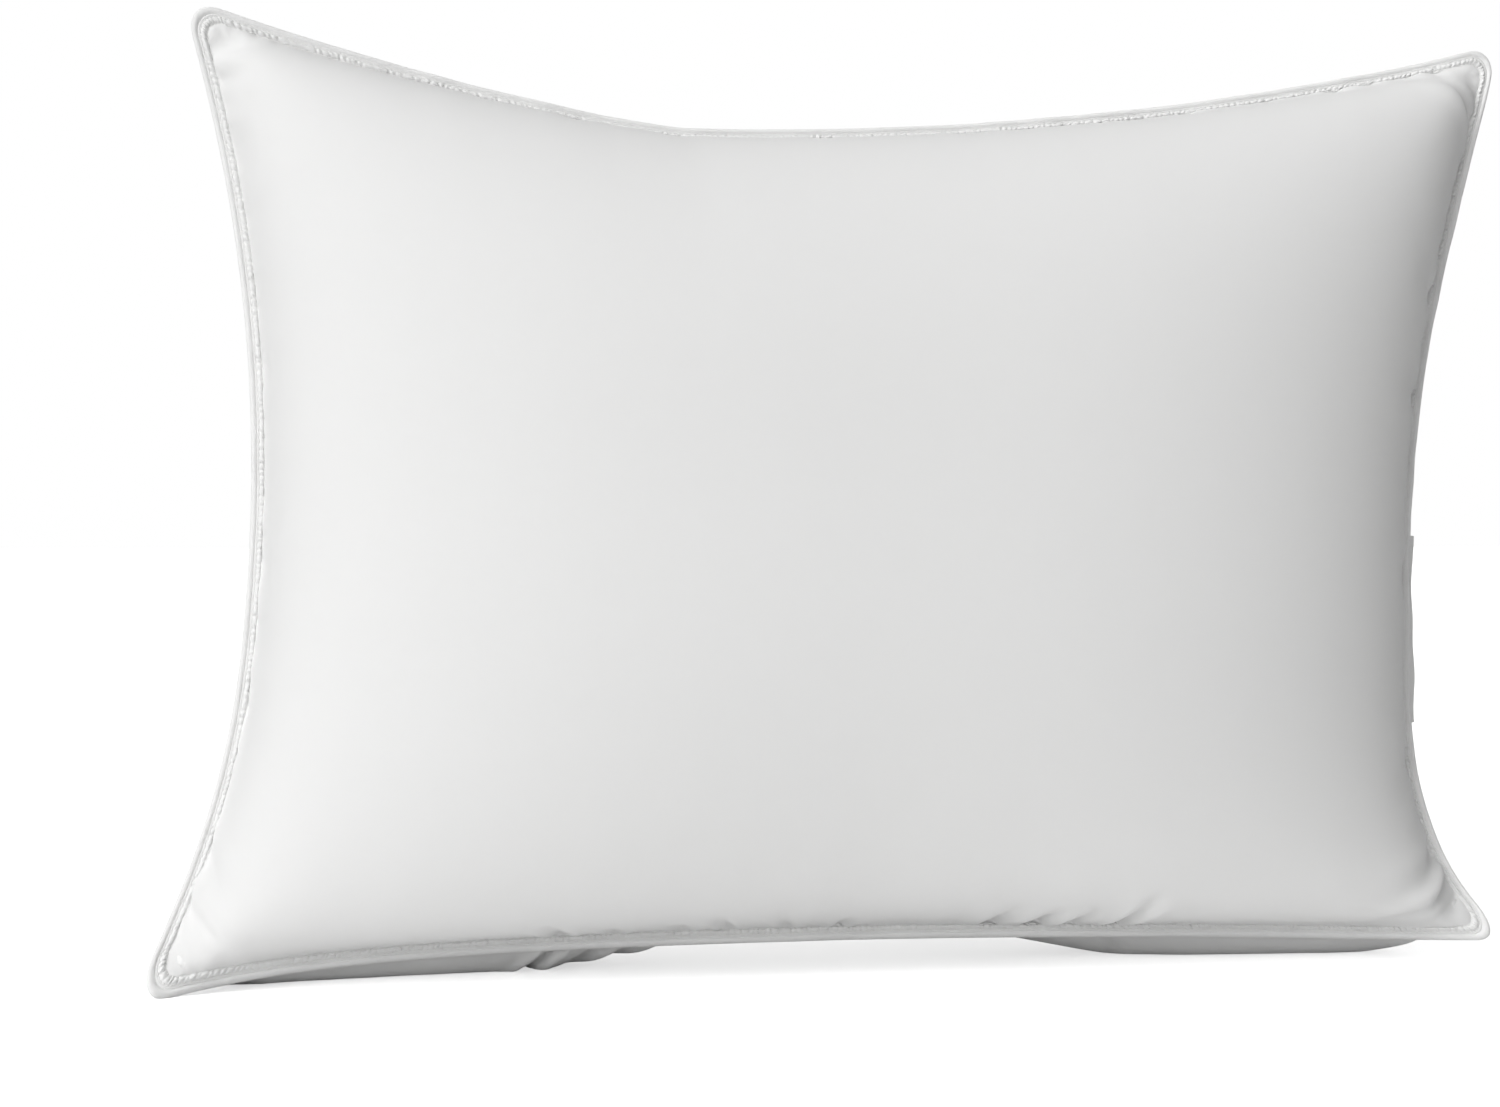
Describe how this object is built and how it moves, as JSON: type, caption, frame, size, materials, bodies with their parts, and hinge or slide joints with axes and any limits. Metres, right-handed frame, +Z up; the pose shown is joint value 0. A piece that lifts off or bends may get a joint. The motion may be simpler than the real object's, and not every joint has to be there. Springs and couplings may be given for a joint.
{
  "type": "bed pillow",
  "caption": "Filled rectangular bed pillow with two crowned cloth panels, a piped edge and a double-stitched flange, standing on its long edge.",
  "frame": {"origin": "under the middle of the pillow, on the surface that it stands on", "axes": "+X along the long edge, to the right as seen from the front; +Z up; the front panel faces -Y"},
  "size_m": [0.6604, 0.2175, 0.4558],
  "materials": {
    "shell_cotton": "fine smooth white cotton",
    "bias_cotton": "white cotton bias strip",
    "fibre": "white polyester fibre",
    "thread": "white sewing thread",
    "label_tape": "smooth white woven tape, blank"
  },
  "bodies": {
    "root": {"front_panel": "shell_cotton", "back_panel": "shell_cotton", "fibre_filling": "fibre", "piping_cord": "fibre", "piping_cover": "bias_cotton", "outer_seam_front_thread": "thread", "inner_seam_front_thread": "thread", "outer_seam_back_thread": "thread", "inner_seam_back_thread": "thread", "closing_seam_thread": "thread", "law_label": "label_tape", "law_label_stitch": "thread"}
  },
  "joints": []
}
